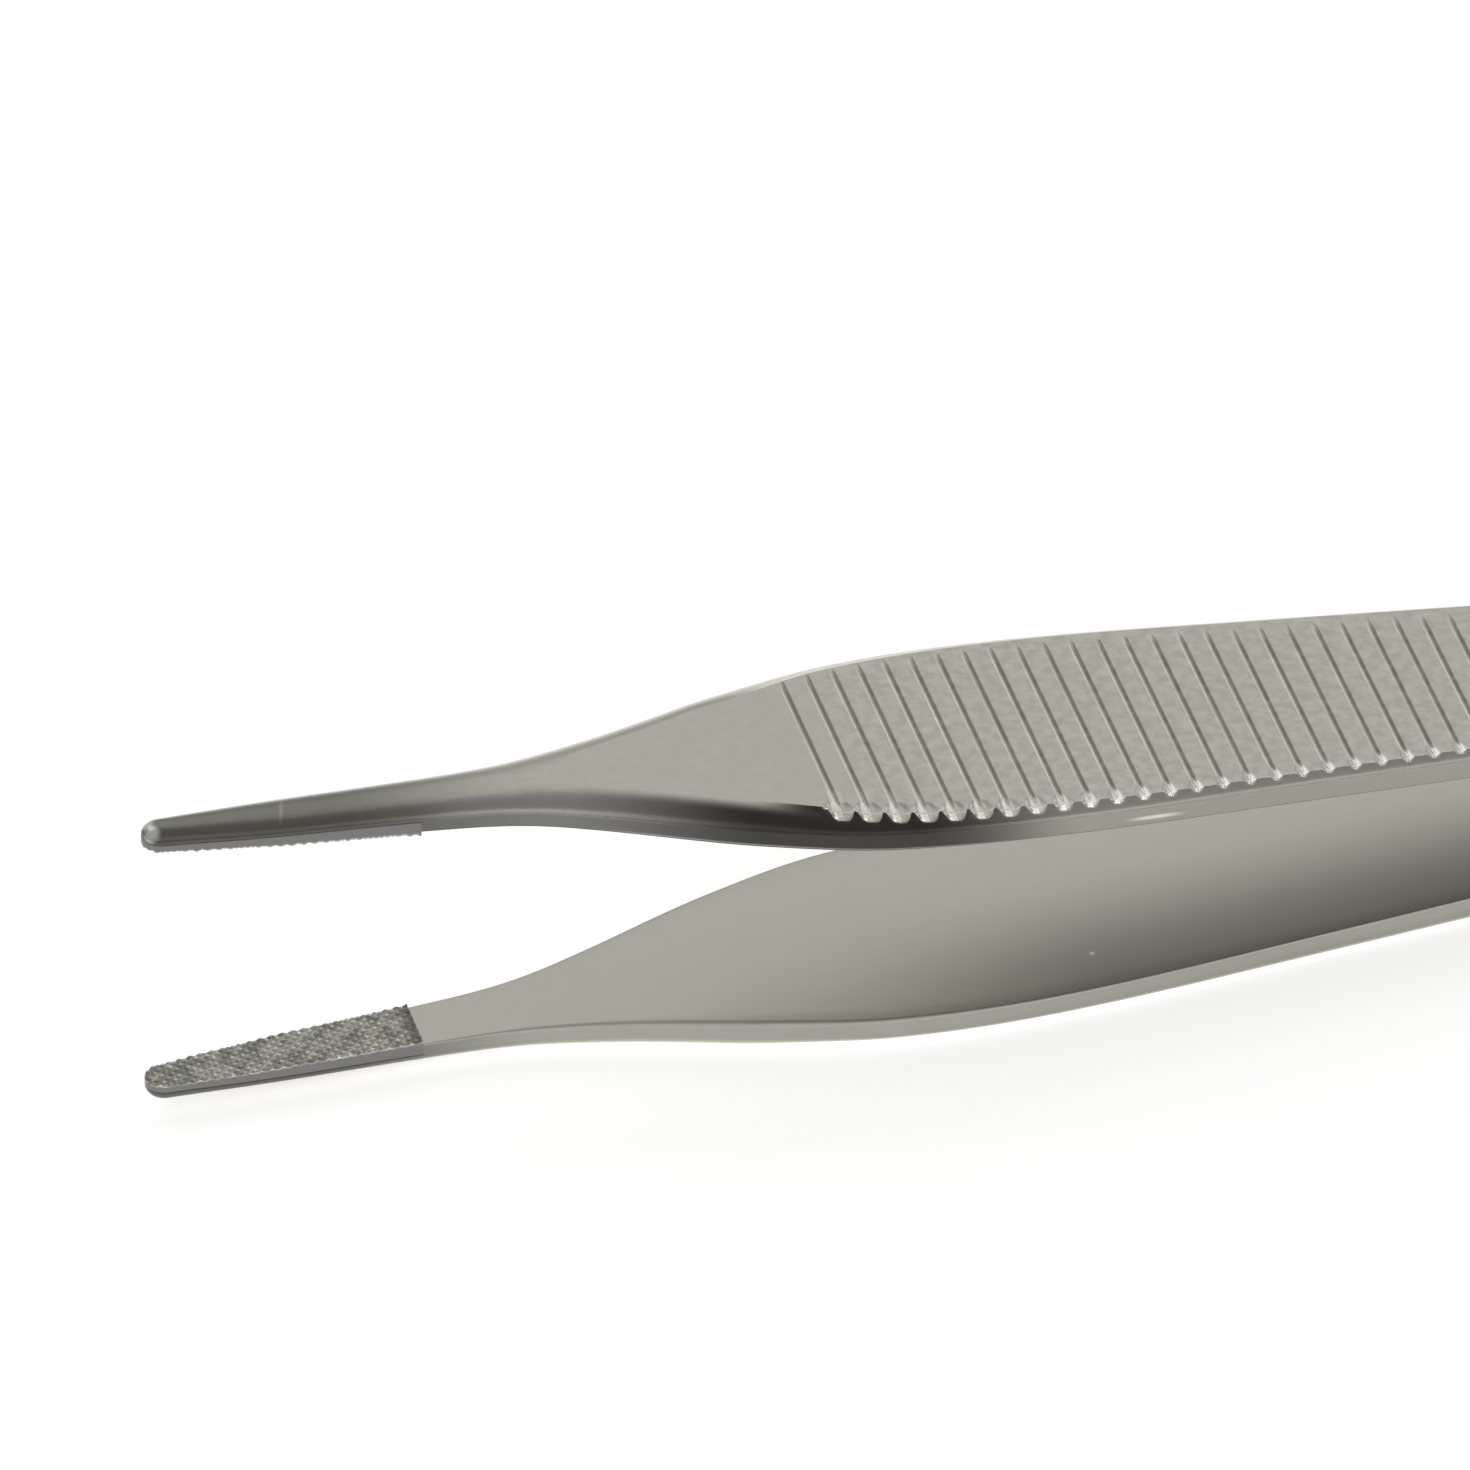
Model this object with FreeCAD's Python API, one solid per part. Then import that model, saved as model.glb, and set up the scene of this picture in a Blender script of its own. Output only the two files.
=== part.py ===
"""Thumb forceps with ridged thumb plates and hard cross-hatched jaw inserts.

Two identical sprung arms lie face to face at a welded heel and spread towards
the tips. Each arm runs from a wide thumb plate through a waisted neck to a
slim, round-backed jaw, and each jaw carries a hard insert brazed into a seat.
The lower arm is the upper one turned half round about the long axis.

The arms are drawn about their closing plane: x runs from the tip to the heel,
y across the arm and z outwards from the closing plane. The whole is then laid
down on the flat outer face of the lower arm. All sizes are in millimetres.
"""
import FreeCAD, Part
import math
import os

Vector = FreeCAD.Vector

# Lengths along the forceps, from the tip
OVERALL_LENGTH = 120.0
INSERT_LENGTH = 12.5
NECK_AT = 17.0
SHOULDER_AT = 33.0
WIDEST_AT = 41.0
FLAT_START = 19.0
FLAT_END = 70.0
HEEL_LENGTH = 10.0

# Full widths across the arm
TIP_WIDTH = 1.75
JAW_ROOT_WIDTH = 3.0
NECK_WIDTH = 3.84
SHOULDER_WIDTH = 13.45
GRIP_WIDTH = 14.3
GRIP_END_WIDTH = 10.9
HEEL_WIDTH = 6.6
HEEL_CORNER = 2.6

# Points on the way along a stretch: how far along it, and how far the size
# has changed by then
JAW_BELLY = (0.47, 0.58)
FLARE_FOOT = (0.25, 0.225)
FLARE_HEAD = (0.65, 0.70)
GRIP_TAPER = (0.45, 0.41)
JAW_THICKENING = 0.55

# Thickness of one arm
TIP_THICKNESS = 0.82
JAW_ROOT_THICKNESS = 1.26
SHOULDER_THICKNESS = 1.70
GRIP_THICKNESS = 1.35
HEEL_THICKNESS = 1.0

# Height of the arm's outer face over the closing plane
FLAT_HEIGHT_AT_TIP = 8.0
FLAT_SLOPE = 0.0555
TIP_HEIGHT = 7.43
JAW_ROOT_HEIGHT = 7.09
GRINDING = 0.03

# Rounding of the long edges: how far it runs in, and how far it drops
JAW_CROWN = 0.06
NECK_EDGE_RUN = 1.9
NECK_EDGE_DROP = 0.95
SHOULDER_EDGE_RUN = 1.05
GRIP_EDGE_AT = 50.0
GRIP_EDGE_RUN = 0.55
GRIP_EDGE_DROP = 0.58
INNER_EDGE_JAW = 0.08
INNER_EDGE_NECK = 0.30
INNER_EDGE_GRIP = 0.12

# The plate's edge leaves its face at a crisp corner, the neck's edge softly
PLATE_EDGE_BREAK = 32.0
BREAK_FROM = 26.0
BREAK_TO = 31.5

# Ridges ground across the thumb plate
RIDGE_START = 30.9
RIDGE_PITCH = 1.25
GROOVE_COUNT = 31
GROOVE_WIDTH = 0.34
GROOVE_DEPTH = 0.16
GROOVE_LEAN = 0.05
GROOVE_RUN_OUT = 1.2
GROOVE_MARGIN = 0.55
SCOOP_START = 0.9
SCOOP_SLOPE = 0.20
SCOOP_FLARE = 0.50
SCOOP_SIDES = 6

# Hard insert brazed into the jaw, and the teeth cut in its bite face
SEAT_DEPTH_AT_TIP = 0.20
SEAT_DEPTH_AT_ROOT = 0.55
INSERT_PROUD = 0.20
TOOTH_PITCH = 0.56
TOOTH_DEPTH = 0.13
TOOTH_GROOVE_WIDTH = 0.42
TOOTH_ANGLE = 45.0

# Room that a cutter reaches past what it cuts
CLEAR = 2.0

HEEL_START = OVERALL_LENGTH - HEEL_LENGTH
TAIL_MIDDLE = 0.5 * (FLAT_END + HEEL_START)
JAW_MIDDLE = JAW_BELLY[0] * INSERT_LENGTH
FLARE_MIDDLE = 0.5 * (NECK_AT + SHOULDER_AT)
NOSE_RADIUS = 0.5 * TIP_WIDTH
TILT = math.degrees(math.atan(FLAT_SLOPE))

# Quarter ellipse drawn as one cubic curve
KAPPA = 0.5523


def between(low, high, share):
    """The value that lies a share of the way from low to high."""
    return low + (high - low) * share


def smooth(knots, x):
    """A smooth curve through (x, value) knots, with the slope at each knot
    taken from its two neighbours."""
    if x <= knots[0][0]:
        return knots[0][1]
    if x >= knots[-1][0]:
        return knots[-1][1]
    slopes = []
    for i in range(len(knots)):
        before = knots[max(i - 1, 0)]
        after = knots[min(i + 1, len(knots) - 1)]
        slopes.append((after[1] - before[1]) / (after[0] - before[0]))
    i = max(k for k in range(len(knots) - 1) if knots[k][0] <= x)
    span = knots[i + 1][0] - knots[i][0]
    t = (x - knots[i][0]) / span
    return ((2 * t**3 - 3 * t**2 + 1) * knots[i][1]
            + (t**3 - 2 * t**2 + t) * span * slopes[i]
            + (3 * t**2 - 2 * t**3) * knots[i + 1][1]
            + (t**3 - t**2) * span * slopes[i + 1])


def flat_height(x):
    """Height of the plane in which the thumb plate's outer face lies."""
    return FLAT_HEIGHT_AT_TIP - FLAT_SLOPE * x


def half_width(x):
    """Half the arm's width: slim jaw, waisted neck, wide plate, long taper."""
    return 0.5 * smooth((
        (NOSE_RADIUS, TIP_WIDTH),
        (JAW_MIDDLE, between(TIP_WIDTH, JAW_ROOT_WIDTH, JAW_BELLY[1])),
        (INSERT_LENGTH, JAW_ROOT_WIDTH),
        (NECK_AT, NECK_WIDTH),
        (between(NECK_AT, SHOULDER_AT, FLARE_FOOT[0]),
         between(NECK_WIDTH, SHOULDER_WIDTH, FLARE_FOOT[1])),
        (between(NECK_AT, SHOULDER_AT, FLARE_HEAD[0]),
         between(NECK_WIDTH, SHOULDER_WIDTH, FLARE_HEAD[1])),
        (SHOULDER_AT, SHOULDER_WIDTH),
        (WIDEST_AT, GRIP_WIDTH),
        (between(WIDEST_AT, FLAT_END, GRIP_TAPER[0]),
         between(GRIP_WIDTH, GRIP_END_WIDTH, GRIP_TAPER[1])),
        (FLAT_END, GRIP_END_WIDTH),
        (HEEL_START, HEEL_WIDTH),
        (OVERALL_LENGTH, HEEL_WIDTH),
    ), x)


def thickness(x):
    """The arm's thickness: thin at the tip, stout at the shoulder's root."""
    return smooth((
        (NOSE_RADIUS, TIP_THICKNESS),
        (JAW_MIDDLE, between(TIP_THICKNESS, JAW_ROOT_THICKNESS, JAW_THICKENING)),
        (INSERT_LENGTH, JAW_ROOT_THICKNESS),
        (FLARE_MIDDLE, SHOULDER_THICKNESS),
        (WIDEST_AT, GRIP_THICKNESS),
        (FLAT_END, GRIP_THICKNESS),
        (HEEL_START, HEEL_THICKNESS),
        (OVERALL_LENGTH, HEEL_THICKNESS),
    ), x)


def outer_height(x):
    """Height of the outer face: the jaw bends in, the plate is flat and the
    tail sinks to the heel."""
    if FLAT_START <= x <= FLAT_END:
        return flat_height(x)
    if x < FLAT_START:
        return smooth((
            (0.0, TIP_HEIGHT),
            (INSERT_LENGTH, JAW_ROOT_HEIGHT),
            (FLAT_START, flat_height(FLAT_START)),
            (SHOULDER_AT, flat_height(SHOULDER_AT)),
        ), x)
    return smooth((
        (WIDEST_AT, flat_height(WIDEST_AT)),
        (FLAT_END, flat_height(FLAT_END)),
        (TAIL_MIDDLE, 0.5 * (flat_height(FLAT_END) + HEEL_THICKNESS)),
        (HEEL_START, HEEL_THICKNESS),
        (OVERALL_LENGTH, HEEL_THICKNESS),
    ), x)


def inner_height(x):
    return outer_height(x) - thickness(x)


def seat_height(x):
    """Height of the flat seat in the jaw that the insert is brazed to."""
    at_tip = inner_height(0.0) + SEAT_DEPTH_AT_TIP
    at_root = inner_height(INSERT_LENGTH) + SEAT_DEPTH_AT_ROOT
    return between(at_tip, at_root, x / INSERT_LENGTH)


def bite_height(x):
    """Height of the insert's flat bite face, proud of the arm's inner face."""
    at_tip = inner_height(0.0) - INSERT_PROUD
    at_root = inner_height(INSERT_LENGTH) - INSERT_PROUD
    return between(at_tip, at_root, x / INSERT_LENGTH)


def edge_rounding(x):
    """Run and drop of the outer edge's rounding. On the jaw the two edges
    meet in a crown, so that its back is round."""
    full_run = half_width(x) - JAW_CROWN
    full_drop = outer_height(x) - seat_height(x)
    run = smooth((
        (FLARE_MIDDLE, NECK_EDGE_RUN),
        (SHOULDER_AT, SHOULDER_EDGE_RUN),
        (GRIP_EDGE_AT, GRIP_EDGE_RUN),
        (HEEL_START, GRIP_EDGE_RUN),
    ), x)
    drop = smooth((
        (INSERT_LENGTH, JAW_ROOT_THICKNESS - SEAT_DEPTH_AT_ROOT),
        (FLARE_MIDDLE, NECK_EDGE_DROP),
        (WIDEST_AT, GRIP_EDGE_DROP),
        (HEEL_START, GRIP_EDGE_DROP),
    ), x)
    if x < INSERT_LENGTH:
        drop = full_drop
    return min(run, full_run), drop


def edge_break(x):
    """Angle in radians at which the outer edge's rounding leaves the face."""
    share = min(1.0, max(0.0, (x - BREAK_FROM) / (BREAK_TO - BREAK_FROM)))
    return math.radians(PLATE_EDGE_BREAK) * share * share * (3 - 2 * share)


def inner_edge(x):
    """Radius of the small rounding along the arm's inner edges."""
    return smooth((
        (INSERT_LENGTH, INNER_EDGE_JAW),
        (FLARE_MIDDLE, INNER_EDGE_NECK),
        (WIDEST_AT, INNER_EDGE_GRIP),
        (HEEL_START, INNER_EDGE_GRIP),
    ), x)


def curve(*points):
    """One cubic curve edge through its four control points."""
    bezier = Part.BezierCurve()
    bezier.setPoles([Vector(*point) for point in points])
    return bezier.toShape()


def line(start, end):
    return Part.LineSegment(Vector(*start), Vector(*end)).toShape()


def half_section(x, side):
    """Edges of one half of the arm's cross-section, from the middle of the
    outer face round to the middle of the inner face. side is 1 or -1."""
    half = half_width(x)
    run, drop = edge_rounding(x)
    slope = edge_break(x)
    soft = inner_edge(x)
    top = outer_height(x)
    if FLAT_START <= x <= FLAT_END:
        top = top + GRINDING
    low = inner_height(x)
    flat = half - run
    return [
        line((x, 0, top), (x, side * flat, top)),
        curve((x, side * flat, top),
              (x, side * (flat + KAPPA * run * math.cos(slope)), top - KAPPA * run * math.sin(slope)),
              (x, side * half, top - (1 - KAPPA) * drop),
              (x, side * half, top - drop)),
        line((x, side * half, top - drop), (x, side * half, low + soft)),
        curve((x, side * half, low + soft),
              (x, side * half, low + (1 - KAPPA) * soft),
              (x, side * (half - (1 - KAPPA) * soft), low),
              (x, side * (half - soft), low)),
        line((x, side * (half - soft), low), (x, 0, low)),
    ]


def section_wire(x):
    """The arm's closed cross-section at one station along its length."""
    right = half_section(x, 1)
    left = half_section(x, -1)
    return Part.Wire(Part.__sortEdges__(right + left))


def stations():
    """Where the arm's section is drawn: closer together in the neck's flare."""
    places = [NOSE_RADIUS, JAW_MIDDLE, INSERT_LENGTH]
    flare_steps = 9
    for i in range(flare_steps):
        places.append(between(0.5 * (INSERT_LENGTH + NECK_AT), SHOULDER_AT, i / (flare_steps - 1)))
    grip_steps = 6
    for i in range(1, grip_steps + 1):
        places.append(between(SHOULDER_AT, FLAT_END, i / grip_steps))
    tail_steps = 4
    for i in range(1, tail_steps + 1):
        places.append(between(FLAT_END, HEEL_START, i / tail_steps))
    return places


def prism_across(profile):
    """A closed profile of (x, z) points, extruded right across the arm."""
    reach = GRIP_WIDTH
    corners = [Vector(x, -reach, z) for x, z in profile]
    face = Part.Face(Part.makePolygon(corners + corners[:1]))
    return face.extrude(Vector(0, 2 * reach, 0))


def nose_dome(low, top):
    """Round end of the jaw: half the first section turned about the nose's
    centre line. low and top bound it in height."""
    run, drop = edge_rounding(NOSE_RADIUS)
    half = half_width(NOSE_RADIUS)
    flat = half - run
    edges = [
        line((NOSE_RADIUS, 0, top), (NOSE_RADIUS, flat, top)),
        curve((NOSE_RADIUS, flat, top),
              (NOSE_RADIUS, flat + KAPPA * run, top),
              (NOSE_RADIUS, half, top - (1 - KAPPA) * drop),
              (NOSE_RADIUS, half, top - drop)),
        line((NOSE_RADIUS, half, top - drop), (NOSE_RADIUS, half, low)),
        line((NOSE_RADIUS, half, low), (NOSE_RADIUS, 0, low)),
        line((NOSE_RADIUS, 0, low), (NOSE_RADIUS, 0, top)),
    ]
    face = Part.Face(Part.Wire(Part.__sortEdges__(edges)))
    return face.revolve(Vector(NOSE_RADIUS, 0, 0), Vector(0, 0, 1), 180)


def arm_blank():
    """The forged and ground arm, before its ridges and seat are cut."""
    body = Part.makeLoft([section_wire(x) for x in stations()], True, True)
    dome = nose_dome(inner_height(NOSE_RADIUS), outer_height(NOSE_RADIUS))
    heel = Part.Face(section_wire(HEEL_START)).extrude(Vector(HEEL_LENGTH, 0, 0))
    start = -CLEAR
    end = OVERALL_LENGTH + CLEAR
    over_flat = prism_across([
        (start, flat_height(start)),
        (end, flat_height(end)),
        (end, flat_height(start) + CLEAR),
        (start, flat_height(start) + CLEAR),
    ])
    return body.fuse([dome, heel]).cut(over_flat).common(heel_end())


def heel_end():
    """A tall block whose far end has the heel's rounded corners."""
    half = 0.5 * HEEL_WIDTH
    wide = GRIP_WIDTH
    end = OVERALL_LENGTH
    corner = HEEL_CORNER
    bend = corner * (1 - math.sqrt(0.5))
    start = HEEL_START
    edges = [
        line((-CLEAR, -wide, 0), (-CLEAR, wide, 0)),
        line((-CLEAR, wide, 0), (start, wide, 0)),
        line((start, wide, 0), (start, half, 0)),
        line((start, half, 0), (end - corner, half, 0)),
        Part.Arc(Vector(end - corner, half, 0), Vector(end - bend, half - bend, 0),
                 Vector(end, half - corner, 0)).toShape(),
        line((end, half - corner, 0), (end, corner - half, 0)),
        Part.Arc(Vector(end, corner - half, 0), Vector(end - bend, bend - half, 0),
                 Vector(end - corner, -half, 0)).toShape(),
        line((end - corner, -half, 0), (start, -half, 0)),
        line((start, -half, 0), (start, -wide, 0)),
        line((start, -wide, 0), (-CLEAR, -wide, 0)),
    ]
    outline = Part.Face(Part.Wire(Part.__sortEdges__(edges)))
    return outline.extrude(Vector(0, 0, FLAT_HEIGHT_AT_TIP + CLEAR))


def on_flat(shape, x):
    """Set a cutter, drawn on the plane z = 0 about x = 0, on the plate's face."""
    shape.rotate(Vector(0, 0, 0), Vector(0, 1, 0), TILT)
    shape.translate(Vector(x, 0, flat_height(x)))
    return shape


def groove_cutter(x):
    """A V groove straight across the plate, leaning towards the heel. It runs
    out before the far edge."""
    half = half_width(x)
    deep = GROOVE_DEPTH
    rise = 0.5 * deep
    wide = 0.5 * GROOVE_WIDTH * (deep + rise) / deep

    def triangle(y):
        corners = [Vector(-wide, y, rise), Vector(wide, y, rise), Vector(GROOVE_LEAN, y, -deep)]
        return Part.makePolygon(corners + corners[:1])

    far_end = half - GROOVE_MARGIN
    cutter = Part.makeLoft([
        triangle(-half - CLEAR),
        triangle(far_end - GROOVE_RUN_OUT),
        Part.Vertex(0, far_end, rise),
    ], True, True)
    return on_flat(cutter, x)


def scoop_cutter(x):
    """A faceted flare that opens each groove's near end over the plate's edge."""
    run, drop = edge_rounding(x)
    start = SCOOP_START + run - half_width(x)
    length = SCOOP_START + run + CLEAR
    wide = SCOOP_FLARE * length
    deep = SCOOP_SLOPE * length / math.cos(math.pi / SCOOP_SIDES)
    mouth = []
    for i in range(SCOOP_SIDES):
        turn = math.pi * (2 * i + 1) / SCOOP_SIDES
        mouth.append(Vector(wide * math.sin(turn), start - length, deep * math.cos(turn)))
    outline = Part.makePolygon(mouth + mouth[:1])
    cutter = Part.makeLoft([outline, Part.Vertex(0, start, 0)], True, True)
    return on_flat(cutter, x)


def ridge_cutters():
    cutters = []
    step = RIDGE_PITCH * math.cos(math.radians(TILT))
    for i in range(GROOVE_COUNT):
        x = RIDGE_START + i * step
        cutters.append(groove_cutter(x).fuse(scoop_cutter(x)))
    return cutters


def seat_cutter():
    """What is ground away from the jaw to seat the insert."""
    return prism_across([
        (-CLEAR, seat_height(-CLEAR)),
        (INSERT_LENGTH, seat_height(INSERT_LENGTH)),
        (INSERT_LENGTH, 0),
        (-CLEAR, 0),
    ])


def upper_arm():
    return arm_blank().cut(ridge_cutters() + [seat_cutter()])


def insert_blank():
    """The hard insert before its teeth are cut: the jaw's outline between the
    seat and the bite face."""
    points = []
    steps = 5
    for i in range(steps + 1):
        x = between(NOSE_RADIUS, INSERT_LENGTH, i / steps)
        points.append((x, half_width(x)))
    right = Part.BSplineCurve()
    right.interpolate([Vector(x, half, 0) for x, half in points])
    left = Part.BSplineCurve()
    left.interpolate([Vector(x, -half, 0) for x, half in points])
    root = 0.5 * JAW_ROOT_WIDTH
    nose = Part.Arc(Vector(NOSE_RADIUS, NOSE_RADIUS, 0), Vector(0, 0, 0),
                    Vector(NOSE_RADIUS, -NOSE_RADIUS, 0)).toShape()
    edges = [
        right.toShape(),
        line((INSERT_LENGTH, root, 0), (INSERT_LENGTH, -root, 0)),
        left.toShape(),
        nose,
    ]
    outline = Part.Face(Part.Wire(Part.__sortEdges__(edges)))
    column = outline.extrude(Vector(0, 0, FLAT_HEIGHT_AT_TIP + CLEAR))
    slab = prism_across([
        (-CLEAR, bite_height(-CLEAR)),
        (INSERT_LENGTH + CLEAR, bite_height(INSERT_LENGTH + CLEAR)),
        (INSERT_LENGTH + CLEAR, seat_height(INSERT_LENGTH + CLEAR)),
        (-CLEAR, seat_height(-CLEAR)),
    ])
    return column.common(slab)


def tooth_cutters():
    """Two crossing families of V grooves that leave rows of small pyramids."""
    slope = math.degrees(math.atan2(bite_height(0) - bite_height(INSERT_LENGTH), INSERT_LENGTH))
    reach = INSERT_LENGTH
    wide = TOOTH_GROOVE_WIDTH
    deep = TOOTH_DEPTH
    corners = [Vector(-reach, -wide, -deep), Vector(-reach, wide, -deep), Vector(-reach, 0, deep)]
    profile = Part.Face(Part.makePolygon(corners + corners[:1]))
    groove = profile.extrude(Vector(2 * reach, 0, 0))
    count = int(0.5 * (INSERT_LENGTH + JAW_ROOT_WIDTH) * math.sin(math.radians(TOOTH_ANGLE))
                / TOOTH_PITCH) + 1
    middle = 0.5 * INSERT_LENGTH
    cutters = []
    for turn in (TOOTH_ANGLE, -TOOTH_ANGLE):
        for i in range(-count, count + 1):
            cutter = groove.copy()
            cutter.translate(Vector(0, i * TOOTH_PITCH, 0))
            cutter.rotate(Vector(0, 0, 0), Vector(0, 0, 1), turn)
            cutter.rotate(Vector(0, 0, 0), Vector(0, 1, 0), slope)
            cutter.translate(Vector(middle, 0, bite_height(middle)))
            cutters.append(cutter)
    return cutters


def upper_insert():
    return insert_blank().cut(tooth_cutters())


def turned_over(shape):
    """The same piece on the other side of the closing plane."""
    other = shape.copy()
    other.rotate(Vector(0, 0, 0), Vector(1, 0, 0), 180)
    return other


def laid_down(shapes):
    """Lay the forceps on the lower arm's flat face, centred on the origin."""
    for shape in shapes.values():
        shape.rotate(Vector(0, 0, 0), Vector(0, 1, 0), TILT)
        lift = FLAT_HEIGHT_AT_TIP * math.cos(math.radians(TILT))
        shape.translate(Vector(0, 0, lift))
    box = Part.makeCompound(list(shapes.values())).optimalBoundingBox(True, False)
    for shape in shapes.values():
        shape.translate(Vector(-box.Center.x, -box.Center.y, 0))
    return shapes


def main():
    arm = upper_arm()
    insert = upper_insert()
    shapes = laid_down({
        "upper_arm": arm,
        "lower_arm": turned_over(arm),
        "upper_jaw_insert": insert,
        "lower_jaw_insert": turned_over(insert),
    })
    os.makedirs("parts", exist_ok=True)
    for name, shape in shapes.items():
        shape.exportStep("parts/" + name + ".step")
        print(name, shape.ShapeType, "solids", len(shape.Solids), "volume", round(shape.Volume, 2))


main()
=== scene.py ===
import math

import bpy
from mathutils import Matrix, Vector


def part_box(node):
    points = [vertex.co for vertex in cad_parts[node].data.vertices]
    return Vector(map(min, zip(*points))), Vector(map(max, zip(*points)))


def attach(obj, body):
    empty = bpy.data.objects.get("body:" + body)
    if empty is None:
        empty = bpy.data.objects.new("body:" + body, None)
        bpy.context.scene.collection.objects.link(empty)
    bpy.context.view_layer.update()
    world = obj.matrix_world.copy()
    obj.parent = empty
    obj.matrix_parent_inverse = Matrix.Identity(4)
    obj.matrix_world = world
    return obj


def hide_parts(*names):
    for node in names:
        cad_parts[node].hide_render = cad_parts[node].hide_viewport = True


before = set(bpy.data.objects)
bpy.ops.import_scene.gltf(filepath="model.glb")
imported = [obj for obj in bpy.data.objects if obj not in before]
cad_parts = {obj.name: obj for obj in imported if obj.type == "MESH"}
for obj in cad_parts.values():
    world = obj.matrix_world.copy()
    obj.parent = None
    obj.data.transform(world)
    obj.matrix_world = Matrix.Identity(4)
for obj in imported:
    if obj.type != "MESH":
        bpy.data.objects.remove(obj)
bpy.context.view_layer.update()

MM = 0.001

# The forceps' sizes, in millimetres, about their closing plane: x runs from
# the tip to the heel, y across the arm and z outwards from the closing plane.
OVERALL_LENGTH = 120.0
INSERT_LENGTH = 12.5
NECK_AT = 17.0
SHOULDER_AT = 33.0
WIDEST_AT = 41.0
FLAT_START = 19.0
FLAT_END = 70.0
HEEL_START = 110.0
TAIL_MIDDLE = 0.5 * (FLAT_END + HEEL_START)
JAW_MIDDLE = 0.47 * INSERT_LENGTH
FLARE_MIDDLE = 0.5 * (NECK_AT + SHOULDER_AT)

TIP_WIDTH = 1.75
JAW_ROOT_WIDTH = 3.0
NECK_WIDTH = 3.84
SHOULDER_WIDTH = 13.45
GRIP_WIDTH = 14.3
GRIP_END_WIDTH = 10.9
HEEL_WIDTH = 6.6
HEEL_CORNER = 2.6
NOSE_RADIUS = 0.5 * TIP_WIDTH

TIP_THICKNESS = 0.82
JAW_ROOT_THICKNESS = 1.26
SHOULDER_THICKNESS = 1.70
GRIP_THICKNESS = 1.35
HEEL_THICKNESS = 1.0

FLAT_HEIGHT_AT_TIP = 8.0
FLAT_SLOPE = 0.0555
TIP_HEIGHT = 7.43
JAW_ROOT_HEIGHT = 7.09
TILT = math.atan(FLAT_SLOPE)
GRINDING = 0.03
GRINDING_RAMP = 2.0

JAW_CROWN = 0.06
NECK_EDGE_RUN = 1.9
NECK_EDGE_DROP = 0.95
SHOULDER_EDGE_RUN = 1.05
GRIP_EDGE_AT = 50.0
GRIP_EDGE_RUN = 0.55
GRIP_EDGE_DROP = 0.58
PLATE_EDGE_BREAK = math.radians(32.0)
BREAK_FROM = 26.0
BREAK_TO = 31.5
KAPPA = 0.5523
INNER_EDGE_JAW = 0.08
INNER_EDGE_NECK = 0.30
INNER_EDGE_GRIP = 0.12

RIDGE_START = 30.9
RIDGE_PITCH = 1.25 * math.cos(TILT)
GROOVE_COUNT = 31
GROOVE_WIDTH = 0.21
GROOVE_DEPTH = 0.12
GROOVE_LEAN = 0.05
GROOVE_RUN_OUT = 1.2
GROOVE_MARGIN = 0.55
SCOOP_START = 0.9
SCOOP_SLOPE = 0.18
SCOOP_WIDE = 0.59
SCOOP_FADE = 0.48
CUT_FILLET = 0.045

SEAT_DEPTH_AT_TIP = 0.20
SEAT_DEPTH_AT_ROOT = 0.55
INSERT_PROUD = 0.20
BRAZE_SEAM = 0.03
TOOTH_PITCH = 0.36
TOOTH_DEPTH = 0.10
TOOTH_GROOVE_WIDTH = 0.29


def between(low, high, share):
    return low + (high - low) * share


def eased(share):
    """0 to 1 with a soft start and end."""
    t = min(1.0, max(0.0, share))
    return t * t * (3 - 2 * t)


def smooth(knots, x):
    """A smooth curve through (x, value) knots."""
    if x <= knots[0][0]:
        return knots[0][1]
    if x >= knots[-1][0]:
        return knots[-1][1]
    slopes = []
    for i in range(len(knots)):
        before = knots[max(i - 1, 0)]
        after = knots[min(i + 1, len(knots) - 1)]
        slopes.append((after[1] - before[1]) / (after[0] - before[0]))
    i = max(k for k in range(len(knots) - 1) if knots[k][0] <= x)
    span = knots[i + 1][0] - knots[i][0]
    t = (x - knots[i][0]) / span
    return ((2 * t**3 - 3 * t**2 + 1) * knots[i][1]
            + (t**3 - 2 * t**2 + t) * span * slopes[i]
            + (3 * t**2 - 2 * t**3) * knots[i + 1][1]
            + (t**3 - t**2) * span * slopes[i + 1])


def flat_height(x):
    return FLAT_HEIGHT_AT_TIP - FLAT_SLOPE * x


def half_width(x):
    half = 0.5 * smooth((
        (NOSE_RADIUS, TIP_WIDTH),
        (JAW_MIDDLE, between(TIP_WIDTH, JAW_ROOT_WIDTH, 0.58)),
        (INSERT_LENGTH, JAW_ROOT_WIDTH),
        (NECK_AT, NECK_WIDTH),
        (between(NECK_AT, SHOULDER_AT, 0.25), between(NECK_WIDTH, SHOULDER_WIDTH, 0.225)),
        (between(NECK_AT, SHOULDER_AT, 0.65), between(NECK_WIDTH, SHOULDER_WIDTH, 0.70)),
        (SHOULDER_AT, SHOULDER_WIDTH),
        (WIDEST_AT, GRIP_WIDTH),
        (between(WIDEST_AT, FLAT_END, 0.45), between(GRIP_WIDTH, GRIP_END_WIDTH, 0.41)),
        (FLAT_END, GRIP_END_WIDTH),
        (HEEL_START, HEEL_WIDTH),
        (OVERALL_LENGTH, HEEL_WIDTH),
    ), x)
    past = x - (OVERALL_LENGTH - HEEL_CORNER)
    if past > 0:
        half -= HEEL_CORNER - math.sqrt(max(0.0, HEEL_CORNER**2 - past**2))
    return half


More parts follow.
